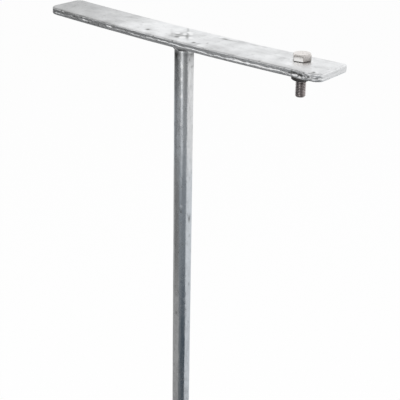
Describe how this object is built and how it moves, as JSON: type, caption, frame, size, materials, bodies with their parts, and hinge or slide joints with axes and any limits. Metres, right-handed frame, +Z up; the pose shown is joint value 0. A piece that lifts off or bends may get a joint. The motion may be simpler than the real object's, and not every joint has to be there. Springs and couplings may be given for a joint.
{
  "type": "ground rod",
  "caption": "Pointed round steel ground rod with a flat bar welded across its top and a bolted earth terminal at one end.",
  "frame": {"origin": "the rod's axis at the top of its free round shank, where the weld under the flat bar ends", "axes": "+Z up along the rod, away from its point; +X along the flat bar towards the terminal bolt"},
  "size_m": [0.284, 0.037, 1.0125],
  "materials": {
    "galvanised_steel": "hot-dip galvanised, uneven",
    "stainless_steel": "plain stainless, as rolled"
  },
  "bodies": {
    "root": {"rod": "galvanised_steel", "cross_bar": "galvanised_steel", "weld_bead": "galvanised_steel", "terminal_bolt": "stainless_steel", "spring_washer": "stainless_steel", "terminal_nut": "stainless_steel"}
  },
  "joints": []
}
